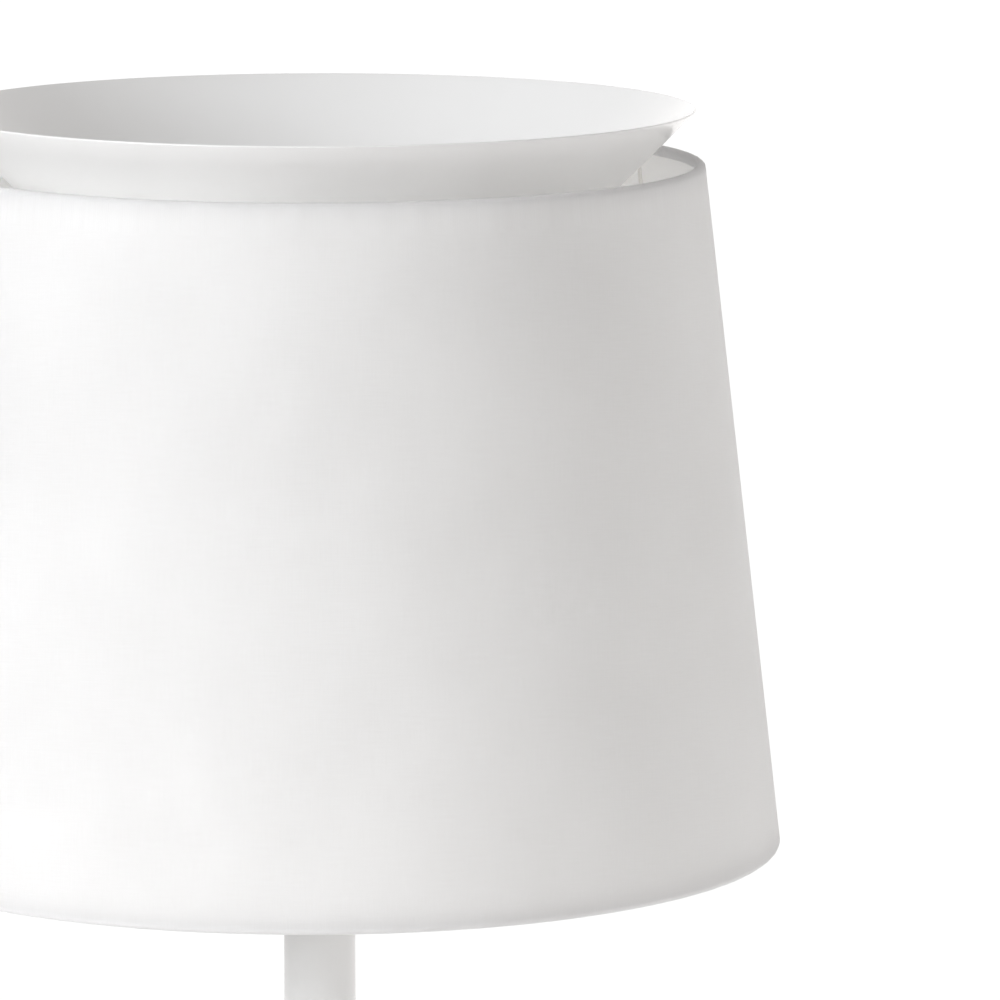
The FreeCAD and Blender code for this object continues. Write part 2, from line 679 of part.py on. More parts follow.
def friction_washers():
    """Two washers at each tang, which hold the leg where it is put."""
    washers = []
    for azimuth in LEG_AZIMUTHS:
        for side in (-1, 1):
            near = side * (TANG_T / 2 + (SLOT_T - TANG_T) / 4) - WASHER_T / 2
            washer = tube(9.5, PIN_R + 2 * PIN_FIT, near, near + WASHER_T)
            seat = Placement(Vector(PIVOT_R, 0, PIVOT_Z), Rotation(Vector(1, 0, 0), -90))
            washers.append(turn_z(moved(washer, seat), azimuth))
    return washers


# ---------------------------------------------------------------- legs
def leg_fitting(azimuth):
    """The tang that turns on the bolt, with a shoulder and a spigot for the tube."""
    half = TANG_T / 2
    tang = block(-TANG_HALF, TANG_HALF, -half, half, -SHOULDER_DROP, 0)
    tang = tang.fuse(bar(TANG_HALF, Vector(0, -half, 0), Vector(0, half, 0)))
    tang = tang.fuse(block(0, TANG_HALF, -half, half, -1, TANG_HALF))
    shoulder = rod(LEG_TUBE_R, -SHOULDER_DROP - 6, -SHOULDER_DROP)
    shoulder = shoulder.makeChamfer(1.0, [e for e in shoulder.Edges if e.BoundBox.ZMin > -SHOULDER_DROP - 1])
    spigot = rod(LEG_TUBE_R - LEG_TUBE_WALL - TOUCH, -SHOULDER_DROP - 38, -SHOULDER_DROP - 5)
    fitting = tang.fuse(shoulder).fuse(spigot).removeSplitter()
    fitting = fitting.cut(bar(PIN_R + PIN_FIT, Vector(0, -10, 0), Vector(0, 10, 0)))
    return leg_frame(fitting, azimuth)


def leg_tube(azimuth):
    top = -SHOULDER_DROP - 6 - TOUCH
    low = -(LEG_LENGTH - FOOT_FLOOR_T)
    return leg_frame(tube(LEG_TUBE_R, LEG_TUBE_R - LEG_TUBE_WALL, low, top), azimuth)


def foot(azimuth):
    """The rubber shoe, cut level with the floor."""
    tube_end = -(LEG_LENGTH - FOOT_FLOOR_T)
    foot_r = LEG_TUBE_R + FOOT_WALL
    shoe = rod(foot_r, -LEG_LENGTH - 10, tube_end + FOOT_OVERLAP)
    shoe = shoe.makeFillet(1.5, [e for e in shoe.Edges if e.BoundBox.ZMin > tube_end + 1])
    shoe = shoe.cut(rod(LEG_TUBE_R + TOUCH, tube_end - TOUCH, tube_end + FOOT_OVERLAP + 1))
    standing = leg_frame(shoe, azimuth)
    return standing.cut(block(-400, 400, -400, 400, -100, 0))


# ---------------------------------------------------------------- the lamp
def lamp_nodes():
    """Every piece by name. A list is a group of separate identical solids in one node."""
    nodes = {
        "shade_fabric": shade_fabric(),
        "shade_liner": shade_liner(),
        "shade_top_ring": shade_ring(True),
        "shade_bottom_ring": shade_ring(False),
        "shade_carrier_arms": carrier_arms(),
        "shade_carrier_washer": carrier_washer(),
        "shade_ring_nut": shade_ring_nut(),
        "reflector_cone": reflector_cone(),
        "reflector_bracket": reflector_bracket(),
        "reflector_screws": reflector_screws(),
        "reflector_nuts": reflector_nuts(),
        "lampholder_base": lampholder_base(),
        "lampholder_skirt": lampholder_skirt(),
        "lampholder_insert": lampholder_insert(),
        "lampholder_shell": lampholder_shell(),
        "lampholder_centre_contact": centre_contact(),
        "switch_bar": switch_bar(),
        "bulb_globe": bulb_globe(),
        "bulb_housing": bulb_housing(),
        "bulb_cap": bulb_cap(),
        "bulb_insulator": bulb_insulator(),
        "bulb_tip_contact": bulb_tip(),
        "bulb_led_board": bulb_led_board(),
        "bulb_driver_board": bulb_driver_board(),
        "stem_tube": stem_tube(),
        "stem_top_plug": stem_top_plug(),
        "stem_set_screws": stem_set_screws(),
        "threaded_nipple": threaded_nipple(),
        "nipple_nuts": nipple_nuts(),
        "supply_wire_live": supply_wire(1),
        "supply_wire_neutral": supply_wire(-1),
        "terminal_block": terminal_block(),
        "hub_body": hub_body(),
        "cable_gland": cable_gland(),
        "leg_pivot_bolts": pivot_bolts(),
        "leg_pivot_nuts": pivot_nuts(),
        "leg_friction_washers": friction_washers(),
    }
    for number, azimuth in enumerate(LEG_AZIMUTHS, start=1):
        nodes[f"leg_{number}_fitting"] = leg_fitting(azimuth)
        nodes[f"leg_{number}_tube"] = leg_tube(azimuth)
        nodes[f"leg_{number}_foot"] = foot(azimuth)
    return nodes


def main():
    os.makedirs("parts", exist_ok=True)
    for name, shape in lamp_nodes().items():
        solid = Part.makeCompound(shape) if isinstance(shape, list) else shape
        solid.exportStep(f"parts/{name}.step")
        print(name, "valid" if solid.isValid() else "NOT VALID", len(solid.Solids), round(solid.Volume, 1))


main()
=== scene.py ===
"""Looks for the tripod floor lamp: a tapered fabric shade, a white reflector cone and a white stand.

Everything is in metres in the CAD part's frame: +Z up, the floor at z = 0, the stem's axis on Z.
"""
import json
import math

import bmesh
import bpy
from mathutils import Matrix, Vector


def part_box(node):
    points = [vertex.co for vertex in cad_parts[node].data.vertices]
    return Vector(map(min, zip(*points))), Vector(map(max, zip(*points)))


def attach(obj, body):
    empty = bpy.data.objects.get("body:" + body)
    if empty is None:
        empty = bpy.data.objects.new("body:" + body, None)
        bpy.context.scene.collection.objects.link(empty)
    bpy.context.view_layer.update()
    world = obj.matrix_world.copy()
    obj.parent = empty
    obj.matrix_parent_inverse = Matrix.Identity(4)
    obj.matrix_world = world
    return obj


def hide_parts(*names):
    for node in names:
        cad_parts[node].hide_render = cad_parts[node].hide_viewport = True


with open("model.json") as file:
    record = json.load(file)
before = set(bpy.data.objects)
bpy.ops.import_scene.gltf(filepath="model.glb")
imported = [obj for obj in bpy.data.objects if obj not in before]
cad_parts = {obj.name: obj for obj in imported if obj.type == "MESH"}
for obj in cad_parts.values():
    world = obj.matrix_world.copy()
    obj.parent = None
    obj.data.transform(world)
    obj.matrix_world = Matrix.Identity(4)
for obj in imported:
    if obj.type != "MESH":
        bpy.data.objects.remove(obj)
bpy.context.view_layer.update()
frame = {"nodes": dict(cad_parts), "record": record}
nodes = frame["nodes"]

MM = 0.001
TAU = 2 * math.pi


# ---------------------------------------------------------------- node helpers
class Shader:
    """A material's node tree, with short calls for what every material here needs."""

    def __init__(self, name):
        self.material = bpy.data.materials.new(name)
        self.material.use_nodes = True
        self.tree = self.material.node_tree
        self.tree.nodes.clear()
        self.out = self.node("ShaderNodeOutputMaterial")
        self.bsdf = self.node("ShaderNodeBsdfPrincipled")
        self.link(self.bsdf.outputs[0], self.out.inputs["Surface"])

    def node(self, kind, **settings):
        made = self.tree.nodes.new(kind)
        for key, value in settings.items():
            setattr(made, key, value)
        return made

    def link(self, a, b):
        self.tree.links.new(a, b)

    def put(self, socket, value):
        """Sets a socket to a number or a colour, or links another socket to it."""
        if isinstance(value, bpy.types.NodeSocket):
            self.link(value, socket)
        elif isinstance(value, tuple) and len(value) == 3 and len(socket.default_value) == 4:
            socket.default_value = (*value, 1.0)
        else:
            socket.default_value = value

    def set(self, **sockets):
        """Sets the shader's own sockets, named with underscores for spaces."""
        for name, value in sockets.items():
            self.put(self.bsdf.inputs[name.replace("_", " ")], value)
        return self

    def coords(self, kind="Object"):
        return self.node("ShaderNodeTexCoord").outputs[kind]

    def stretched(self, vector, x=1.0, y=1.0, z=1.0):
        mapping = self.node("ShaderNodeMapping")
        self.link(vector, mapping.inputs["Vector"])
        mapping.inputs["Scale"].default_value = (x, y, z)
        return mapping.outputs[0]

    def noise(self, vector, scale, detail=3.0, roughness=0.55, distortion=0.0):
        made = self.node("ShaderNodeTexNoise")
        self.link(vector, made.inputs["Vector"])
        made.inputs["Scale"].default_value = scale
        made.inputs["Detail"].default_value = detail
        made.inputs["Roughness"].default_value = roughness
        made.inputs["Distortion"].default_value = distortion
        return made.outputs["Fac"]

    def split(self, vector):
        """The X, Y and Z outputs of a vector."""
        parts = self.node("ShaderNodeSeparateXYZ")
        self.link(vector, parts.inputs[0])
        return parts.outputs

    def math(self, operation, a, b=0.0, clamp=False):
        made = self.node("ShaderNodeMath", operation=operation, use_clamp=clamp)
        self.put(made.inputs[0], a)
        self.put(made.inputs[1], b)
        return made.outputs[0]

    def remap(self, value, low, high, to_low, to_high):
        made = self.node("ShaderNodeMapRange")
        self.put(made.inputs["Value"], value)
        ends = {"From Min": low, "From Max": high, "To Min": to_low, "To Max": to_high}
        for name, number in ends.items():
            made.inputs[name].default_value = number
        return made.outputs[0]

    def mix(self, factor, a, b):
        made = self.node("ShaderNodeMix", data_type="RGBA")
        self.put(made.inputs["Factor"], factor)
        self.put(made.inputs["A"], a)
        self.put(made.inputs["B"], b)
        return made.outputs["Result"]

    def bump(self, height, distance, strength=1.0, normal=None):
        made = self.node("ShaderNodeBump")
        self.put(made.inputs["Height"], height)
        made.inputs["Distance"].default_value = distance
        made.inputs["Strength"].default_value = strength
        if normal is not None:
            self.link(normal, made.inputs["Normal"])
        return made.outputs[0]

    def lets_through(self, share, colour):
        """Mixes in a shader that passes light through the sheet, scattered."""
        passed = self.node("ShaderNodeBsdfTranslucent")
        self.put(passed.inputs["Color"], colour)
        both = self.node("ShaderNodeMixShader")
        both.inputs[0].default_value = share
        self.link(self.bsdf.outputs[0], both.inputs[1])
        self.link(passed.outputs[0], both.inputs[2])
        self.link(both.outputs[0], self.out.inputs["Surface"])


# ---------------------------------------------------------------- materials
def darker(colour, share):
    return tuple(c * share for c in colour)


def satin_paint(name, colour):
    """Powder coat: fine orange peel, faint cloudiness, soft gloss and slightly greyed edges."""
    s = Shader(name)
    at = s.coords()
    peel_height = s.noise(at, 900.0, detail=2.0, roughness=0.5)
    cloud = s.noise(at, 9.0, detail=4.0)
    worn = worn_edges(s, at)
    base = s.mix(s.remap(cloud, 0.35, 0.7, 0.0, 1.0), colour, darker(colour, 0.985))
    s.set(Base_Color=s.mix(worn, base, darker(colour, 0.96)))
    s.set(Roughness=s.remap(cloud, 0.3, 0.75, 0.37, 0.48))
    s.set(Specular_IOR_Level=0.5, Coat_Weight=0.12, Coat_Roughness=0.25)
    s.set(Normal=s.bump(peel_height, 0.00006, 0.5))
    return s.material


def worn_edges(s, at):
    """A mask, up to a half, where an edge is sharp and a patchy noise lets it through."""
    geometry = s.node("ShaderNodeNewGeometry")
    edge = s.remap(geometry.outputs["Pointiness"], 0.53, 0.62, 0.0, 1.0)
    patch = s.remap(s.noise(at, 60.0, detail=5.0), 0.45, 0.7, 0.0, 0.5)
    return s.math("MULTIPLY", edge, patch, clamp=True)


def plastic(name, colour, roughness=0.38):
    """Moulded plastic: a fine spark-eroded grain and slight flow marks."""
    s = Shader(name)
    at = s.coords()
    grain_height = s.noise(at, 2600.0, detail=2.0)
    flow = s.noise(s.stretched(at, z=0.25), 38.0, detail=3.0, distortion=0.6)
    s.set(Base_Color=s.mix(s.remap(flow, 0.3, 0.7, 0.0, 1.0), colour, darker(colour, 0.94)))
    s.set(Roughness=s.remap(flow, 0.3, 0.7, roughness - 0.04, roughness + 0.05))
    s.set(Specular_IOR_Level=0.5, Normal=s.bump(grain_height, 0.00002, 0.5))
    return s.material


LINES_RUN = {"x": (0.04, 1, 1), "turned": (0.04, 0.04, 1)}


def metal(name, colour, roughness, lines_run="turned"):
    """Bare metal with fine lines, either along X or round Z as a lathe leaves them."""
    s = Shader(name)
    at = s.coords()
    lines = s.noise(s.stretched(at, *LINES_RUN[lines_run]), 1280.0, detail=4.0, roughness=0.7)
    stain = s.noise(at, 70.0, detail=4.0)
    s.set(Base_Color=s.mix(s.remap(stain, 0.35, 0.7, 0.0, 1.0), colour, darker(colour, 0.82)))
    s.set(Metallic=1.0, Roughness=s.remap(lines, 0.3, 0.7, roughness - 0.08, roughness + 0.1))
    s.set(Normal=s.bump(lines, 0.00002, 0.5))
    return s.material


def rubber(name):
    """Black moulded rubber, dusty, and scuffed paler towards the floor."""
    s = Shader(name)
    at = s.coords()
    grain = s.noise(at, 1500.0, detail=3.0)
    dust = s.noise(at, 45.0, detail=5.0)
    near_floor = s.remap(s.split(at)["Z"], 0.0, SCUFF_HEIGHT, 1.0, 0.0)
    scuff = s.math("MULTIPLY", near_floor, dust, clamp=True)
    base = s.mix(s.remap(dust, 0.4, 0.75, 0.0, 1.0), (0.035, 0.035, 0.037), (0.065, 0.063, 0.06))
    s.set(Base_Color=s.mix(scuff, base, (0.2, 0.19, 0.17)))
    s.set(Roughness=s.remap(dust, 0.3, 0.7, 0.68, 0.85), Specular_IOR_Level=0.35)
    s.set(Normal=s.bump(grain, 0.00006, 0.6))
    return s.material


def opal(name):
    """The bulb's dome: a matt diffusing plastic."""
    s = Shader(name)
    at = s.coords()
    frost = s.noise(at, 3500.0, detail=2.0)
    haze = s.noise(at, 28.0, detail=3.0)
    s.set(Base_Color=s.mix(haze, (0.93, 0.93, 0.91), (0.89, 0.89, 0.87)))
    s.set(Roughness=s.remap(haze, 0.3, 0.7, 0.42, 0.55), Specular_IOR_Level=0.45)
    s.set(Subsurface_Weight=0.25, Subsurface_Scale=0.002)
    s.set(Normal=s.bump(frost, 0.00002, 0.4))
    return s.material


def ceramic(name):
    """The lampholder's insert: unglazed, slightly porous."""
    s = Shader(name)
    at = s.coords()
    pores = s.noise(at, 1800.0, detail=4.0)
    tone = s.noise(at, 55.0, detail=4.0)
    s.set(Base_Color=s.mix(tone, (0.86, 0.85, 0.81), (0.76, 0.74, 0.69)))
    s.set(Roughness=s.remap(tone, 0.3, 0.7, 0.6, 0.75))
    s.set(Normal=s.bump(pores, 0.00004, 0.6))
    return s.material


def woven_cotton(name):
    """Fine white plain weave. The UV map is the flat pattern in metres, so threads run as cut."""
    s = Shader(name)
    uv = s.coords("UV")
    flat = s.split(uv)
    warp = s.math("DIVIDE", flat["X"], THREAD)
    weft = s.math("DIVIDE", flat["Y"], THREAD)

    def threads(across, along, phase):
        """Height of the threads that run one way, each one over then under its neighbours."""
        round_top = s.math("ABSOLUTE", s.math("SINE", s.math("MULTIPLY", across, math.pi)))
        turn = s.math("ADD", along, s.math("FLOOR", across))
        wave = s.math("COSINE", s.math("MULTIPLY", s.math("ADD", turn, phase), math.pi))
        return s.math("MULTIPLY", round_top, s.math("ADD", s.math("MULTIPLY", wave, 0.5), 0.5))

    cloth = s.math("MAXIMUM", threads(warp, weft, 0.0), threads(weft, warp, 1.0))
    slub_up = s.noise(s.stretched(uv, 1800.0, 60.0), 1.0, detail=3.0)
    slub_across = s.noise(s.stretched(uv, 60.0, 1800.0), 1.0, detail=3.0)
    slubs = s.math("MULTIPLY", s.math("ADD", slub_up, slub_across), 0.5)
    cloud = s.noise(uv, 14.0, detail=4.0)
    tone = s.math("ADD", s.math("MULTIPLY", slubs, 0.7), s.math("MULTIPLY", cloud, 0.3))
    base = s.mix(s.remap(tone, 0.4, 0.66, 0.0, 1.0), COTTON_LIGHT, COTTON_DARK)
    # painted shade: the colour goes darker where the threads dip, in the hollows between them
    gap_shade = s.math("MULTIPLY", s.remap(cloth, 0.0, 0.35, 1.0, 0.0), 0.25)
    colour = s.mix(gap_shade, base, COTTON_GAP_SHADE)
    s.set(Base_Color=colour)
    s.lets_through(CLOTH_THROUGH, colour)
    s.set(Roughness=s.remap(slubs, 0.3, 0.7, 0.86, 0.96), Specular_IOR_Level=0.25)
    s.set(Sheen_Weight=0.18, Sheen_Roughness=0.45)
    coarse = s.bump(slubs, 0.00030, 0.8)
    s.set(Normal=s.bump(cloth, 0.00010, 0.6, normal=coarse))
    return s.material


def film(name):
    """The translucent film behind the fabric, slightly uneven where it is glued."""
    s = Shader(name)
    at = s.coords()
    glue = s.noise(at, 35.0, detail=5.0)
    fine = s.noise(at, 1100.0, detail=2.0)
    colour = s.mix(s.remap(glue, 0.35, 0.65, 0.0, 1.0), FILM_LIGHT, FILM_DARK)
    s.set(Base_Color=colour)
    s.lets_through(FILM_THROUGH, colour)
    s.set(Roughness=s.remap(glue, 0.3, 0.7, 0.5, 0.62), Specular_IOR_Level=0.4)
    s.set(Normal=s.bump(fine, 0.00004, 0.4))
    return s.material


def spun_paint(name, colour):
    """Paint over spun aluminium: the tool's rings and broad dents show faintly under it."""
    s = Shader(name)
    at = s.coords()
    rings_at = s.node("ShaderNodeCombineXYZ")
    s.put(rings_at.inputs["Z"], s.split(at)["Z"])
    rings = s.noise(rings_at.outputs[0], 900.0, detail=2.0)
    broad = s.noise(s.stretched(at, 3.0, 3.0, 12.0), 1.0, detail=2.0)
    peel_height = s.noise(at, 1000.0, detail=2.0)
    cloud = s.noise(at, 7.0, detail=4.0)
    s.set(Base_Color=s.mix(s.remap(cloud, 0.35, 0.7, 0.0, 1.0), colour, darker(colour, 0.965)))
    s.set(Roughness=s.remap(cloud, 0.3, 0.75, 0.30, 0.38), Specular_IOR_Level=0.5)
    s.set(Coat_Weight=0.4, Coat_Roughness=0.16)
    turned_marks = s.bump(rings, 0.00003, 0.35)
    dents = s.bump(broad, 0.0006, 0.25, normal=turned_marks)
    s.set(Normal=s.bump(peel_height, 0.00003, 0.35, normal=dents))
    return s.material


THREAD = 0.46 * MM
COTTON_LIGHT = (0.990, 0.9885, 0.990)
COTTON_DARK = (0.945, 0.9425, 0.943)
# the colour in the hollows between threads, painted shade
COTTON_GAP_SHADE = (0.88, 0.8785, 0.88)
FILM_LIGHT = (0.985, 0.985, 0.98)
FILM_DARK = (0.972, 0.971, 0.965)
# the share of the light that each sheet passes on, scattered
CLOTH_THROUGH = 0.68
FILM_THROUGH = 0.72
SCUFF_HEIGHT = 12 * MM
WHITE = (0.77, 0.768, 0.765)
CONE_WHITE = (0.79, 0.788, 0.785)
paint = satin_paint("white_satin_paint", WHITE)
cone_paint = spun_paint("white_paint_on_spun_aluminium", CONE_WHITE)
cotton = woven_cotton("white_cotton")
backing = film("backing_film")
wire_coat = satin_paint("cream_coated_wire", (0.90, 0.885, 0.85))
# painted shade: the top ring wire is grey rather than cream, so it soaks up the light through the rolled
# top hem and the hem reads as a darker band
hem_shading_wire = satin_paint("grey_ring_wire_hem_shade", (0.55, 0.55, 0.55))
zinc = metal("bright_zinc", (0.66, 0.67, 0.69), 0.30)
brass = metal("plain_brass", (0.78, 0.58, 0.30), 0.28)
cap_metal = metal("cap_aluminium", (0.76, 0.76, 0.78), 0.30)
board_metal = metal("board_aluminium", (0.80, 0.80, 0.80), 0.45, lines_run="x")
white_plastic = plastic("white_moulded_plastic", (0.80, 0.80, 0.78))
nylon = plastic("natural_nylon", (0.74, 0.73, 0.68), roughness=0.5)
black_plastic = plastic("black_insulator", (0.03, 0.03, 0.032), roughness=0.3)
brown_pvc = plastic("brown_insulation", (0.17, 0.07, 0.03), roughness=0.35)
blue_pvc = plastic("blue_insulation", (0.03, 0.10, 0.36), roughness=0.35)
green_board = plastic("green_circuit_board", (0.03, 0.17, 0.07), roughness=0.3)

FINISHES = {
    "white_paint": paint,
    "white_alu": cone_paint,
    "liner_film": backing,
    "steel_wire": wire_coat,
    "zinc_steel": zinc,
    "white_plastic": white_plastic,
    "black_rubber": rubber("black_rubber"),
    "brass": brass,
    "aluminium": cap_metal,
    "opal": opal("opal_plastic"),
    "ceramic": ceramic("ceramic_insert"),
    "glass_black": black_plastic,
    "circuit_board": green_board,
    "wire_brown": brown_pvc,
    "wire_blue": blue_pvc,
    "nylon": nylon,
    "shade_fabric": cotton,
}


def dress_cad_nodes():
    """Every CAD node takes the finish of its slot, except the LED board, which gets its own aluminium,
    and the top ring wire, whose grey is painted shade that darkens the rolled top hem.
    """
    for part in frame["record"]["subparts"]:
        piece = nodes[part["node"]]
        piece.data.materials.clear()
        piece.data.materials.append(FINISHES[part["material_slot"]])
    nodes["bulb_led_board"].data.materials[0] = board_metal
    # the grey top ring is painted shade for the top hem
    nodes["shade_top_ring"].data.materials[0] = hem_shading_wire


# ---------------------------------------------------------------- turned meshes
def arc_points(centre, radius, start, end, steps):
    """Points of a profile on an arc, angles in degrees from +R towards +Z."""
    for k in range(steps + 1):
        a = math.radians(start + (end - start) * k / steps)
        yield centre[0] + radius * math.cos(a), centre[1] + radius * math.sin(a)


def line_points(a, b, steps):
    """Points between two profile points, without the ends."""
    for k in range(1, steps):
        t = k / steps
        yield a[0] + (b[0] - a[0]) * t, a[1] + (b[1] - a[1]) * t


def turned(name, profile, angles, shift=None, uv=None, materials=()):
    """A closed mesh made by turning a closed profile of (r, z) through the angles round Z.

    shift(k, angle) moves profile point k outwards and uv(k, angle) maps it; both are optional.
    """
    mesh = bmesh.new()
    layer = mesh.loops.layers.uv.new("flat") if uv else None
    rings = []
    for a in angles:
        ring = []
        for k, (r, z) in enumerate(profile):
            r = r + (shift(k, a) if shift else 0.0)
            ring.append(mesh.verts.new((r * math.cos(a), r * math.sin(a), z)))
        rings.append(ring)
    count = len(profile)
    for i, a in enumerate(angles):
        ahead = rings[(i + 1) % len(angles)]
        next_a = angles[i + 1] if i + 1 < len(angles) else angles[0] + TAU
        for k in range(count):
            j = (k + 1) % count
            face = mesh.faces.new((rings[i][k], ahead[k], ahead[j], rings[i][j]))
            face.smooth = True
            if uv:
                corners = (k, a), (k, next_a), (j, next_a), (j, a)
                for loop, (point, angle) in zip(face.loops, corners):
                    loop[layer].uv = uv(point, angle)
    bmesh.ops.recalc_face_normals(mesh, faces=mesh.faces)
    data = bpy.data.meshes.new(name)
    mesh.to_mesh(data)
    mesh.free()
    for m in materials:
        data.materials.append(m)
    made = bpy.data.objects.new(name, data)
    bpy.context.scene.collection.objects.link(made)
    return made


# ---------------------------------------------------------------- shade
def ring_centre(node):
    """(radius, height) of a ring wire's centre, and the wire's radius."""
    low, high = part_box(node)
    wire_r = (high.z - low.z) / 2
    return (high.x - wire_r, (high.z + low.z) / 2), wire_r


CLOTH_T = 0.7 * MM
CLOTH_GAP = 0.05 * MM
# how far past half a turn the cloth is tucked round each wire, in degrees
TUCK = 70.0
# profile points along each straight side and round each roll, and steps round the shade
STRAIGHT_STEPS, ROLL_STEPS, ROUND_STEPS = 26, 14, 540
SEAM_ANGLE = math.pi / 2
SEAM_WIDTH = 10 * MM
SEAM_STEP = 0.45 * MM
# the lap is at its full height after this share of its width
SEAM_RAMP = 0.6
SEAM_ROWS = (0.15, 0.3, 0.45, 0.6, 0.8, 0.97, 1.0, 1.012)
# the groove's place and width are counted in radii of the roll
GROOVE_DEPTH = 0.40 * MM
GROOVE_AT, GROOVE_WIDTH = 2.6, 0.55
# each of a pucker's waves: how many in a turn, its phase and its share of the height
PUCKER = 0.07 * MM
PUCKER_REACH = 5 * MM
PUCKER_WAVES = ((61, 0.7, 1.0), (97, 2.1, 0.7), (151, 0.0, 0.5))
# a slow waviness of the cloth between the wires
SWAY = 0.12 * MM


def shade_cloth():
    """The fabric: a cone rolled inwards round a wire at each edge, with a lapped seam at the back."""
    upper, wire_r = ring_centre("shade_top_ring")
    lower, _ = ring_centre("shade_bottom_ring")
    bore = wire_r + CLOTH_GAP
    roll = bore + CLOTH_T
    lean = math.atan2(lower[0] - upper[0], upper[1] - lower[1])
    tilt = math.degrees(lean)

    def on(centre, radius, degrees):
        a = math.radians(degrees)
        return centre[0] + radius * math.cos(a), centre[1] + radius * math.sin(a)

    outer = [*line_points(on(lower, roll, tilt), on(upper, roll, tilt), STRAIGHT_STEPS)]
    over = [*arc_points(upper, roll, tilt, 180 + TUCK, ROLL_STEPS)]
    back_over = [*arc_points(upper, bore, 180 + TUCK, tilt, ROLL_STEPS)]
    inner = [*line_points(on(upper, bore, tilt), on(lower, bore, tilt), STRAIGHT_STEPS)]
    under = [*arc_points(lower, bore, tilt, tilt - 180 - TUCK, ROLL_STEPS)]
    back_under = [*arc_points(lower, roll, tilt - 180 - TUCK, tilt, ROLL_STEPS)]
    profile = outer + over + back_over + inner + under + back_under

    # the distance round the profile to each of its points
    reach = [0.0]
    for (r0, z0), (r1, z1) in zip(profile, profile[1:] + profile[:1]):
        reach.append(reach[-1] + math.hypot(r1 - r0, z1 - z0))
    slant = math.hypot(upper[0] - lower[0], upper[1] - lower[1])
    apex = (lower[0] + roll * math.cos(lean)) / math.sin(lean)
    outside = len(outer) + len(over)
    first_under = outside + len(back_over) + len(inner)

    def height_on_cloth(k):
        """Where a profile point lies on the flat pattern, up from the lower tangent line."""
        r, z = profile[k]
        if len(outer) <= k < outside:
            return reach[k]
        if k >= first_under + ROLL_STEPS:
            return reach[k] - reach[-1]
        along = (z - lower[1]) * math.cos(lean) - (r - lower[0]) * math.sin(lean)
        if outside <= k < first_under:
            return min(along, slant + 4 * roll)
        return along

    def flat(k, angle):
        """The unrolled cone, in metres, with the seam at the pattern's ends."""
        turn_on_pattern = (angle - SEAM_ANGLE - math.pi) * math.sin(lean)
        distance = apex - height_on_cloth(k)
        return distance * math.sin(turn_on_pattern), distance * math.cos(turn_on_pattern)

    def near_edge(k):
        """1 at either rolled edge, falling to almost 0 within two centimetres."""
        _, z = profile[k]
        d = min(upper[1] - z, z - lower[1])
        return math.exp(-max(d, 0.0) / PUCKER_REACH)

    def bulge(k, angle):
        """The groove behind each rolled edge, the roll's puckers, the sway and the seam's lap."""
        _, z = profile[k]
        from_edge = min(upper[1] - z, z - lower[1]) + roll
        off_groove = (from_edge - GROOVE_AT * roll) / (GROOVE_WIDTH * roll)
        move = -GROOVE_DEPTH * math.exp(-off_groove ** 2)
        waves = sum(share * math.sin(turns * angle + phase) for turns, phase, share in PUCKER_WAVES)
        move += PUCKER * near_edge(k) * waves
        move += SWAY * math.sin(3 * angle + 0.4) * math.sin(math.pi * (z - lower[1]) / slant)
        if k < outside:
            past = ((angle - SEAM_ANGLE + math.pi) % TAU - math.pi) * upper[0]
            if 0.0 <= past <= SEAM_WIDTH:
                move += SEAM_STEP * min(1.0, past / (SEAM_RAMP * SEAM_WIDTH))
        return move

    angles = [SEAM_ANGLE + TAU * k / ROUND_STEPS for k in range(ROUND_STEPS)]
    angles += [SEAM_ANGLE + SEAM_WIDTH / upper[0] * share for share in SEAM_ROWS]
    angles = sorted(set(round(a, 7) for a in angles))
    cloth = turned("shade_cloth", profile, angles, bulge, flat, [cotton])
    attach(cloth, "stand")
    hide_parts("shade_fabric")


# ---------------------------------------------------------------- reflector
CONE_T = 1.0 * MM
CONE_EDGE_R = 0.3 * MM
CONE_ROWS, CONE_EDGE_STEPS, CONE_ROUND_STEPS = 60, 5, 360


def reflector():
    """The cone, as CAD has it, with rounded edges and finely divided for smooth light."""
    root = math.sqrt(0.5)
    low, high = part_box("reflector_cone")
    step = CONE_T * root
    rim = (high.x, high.z - step)
    throat = (rim[0] - (rim[1] - low.z), low.z)
    inset = CONE_EDGE_R * root
    outer_low = (throat[0] + inset, throat[1] + inset)
    outer_high = (rim[0] - inset, rim[1] - inset)
    inner_high = (outer_high[0] - step, outer_high[1] + step)
    inner_low = (outer_low[0] - step, outer_low[1] + step)

    def corner(point, towards, start, end):
        """A quarter-round edge, its centre within the sheet from a corner point."""
        centre = (point[0] + towards[0] * CONE_EDGE_R, point[1] + towards[1] * CONE_EDGE_R)
        return [*arc_points(centre, CONE_EDGE_R, start, end, CONE_EDGE_STEPS)]

    inwards, outwards = (-root, root), (root, -root)
    profile = [outer_low, *line_points(outer_low, outer_high, CONE_ROWS)]
    profile += corner(outer_high, inwards, -45, 45)
    profile += corner(inner_high, outwards, 45, 135)
    profile += [*line_points(inner_high, inner_low, CONE_ROWS)]
    profile += corner(inner_low, outwards, 135, 225)
    profile += corner(outer_low, inwards, 225, 315)[:-1]

    angles = [TAU * k / CONE_ROUND_STEPS for k in range(CONE_ROUND_STEPS)]
    cone = turned("reflector_shell", profile, angles, materials=[cone_paint])
    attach(cone, "stand")
    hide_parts("reflector_cone")


# ---------------------------------------------------------------- stage
FLOOR_R = 1.7
FLOOR_COLOUR = (0.86, 0.86, 0.86)
FLOOR_GLOW_COLOUR = (1.0, 0.99, 0.98)
FLOOR_GLOW = 0.42
DOME_R = 24.0
DOME_LEVEL = 1.05
LIGHT_BOUNCES = 10
KEY_FROM = (-2.60, -1.95, 2.6)
KEY_AIM = (0.0, 0.0, 1.38)
KEY_SIZE = 1.9
KEY_POWER = 116.0
KEY_COLOUR = (0.97, 0.985, 1.0)
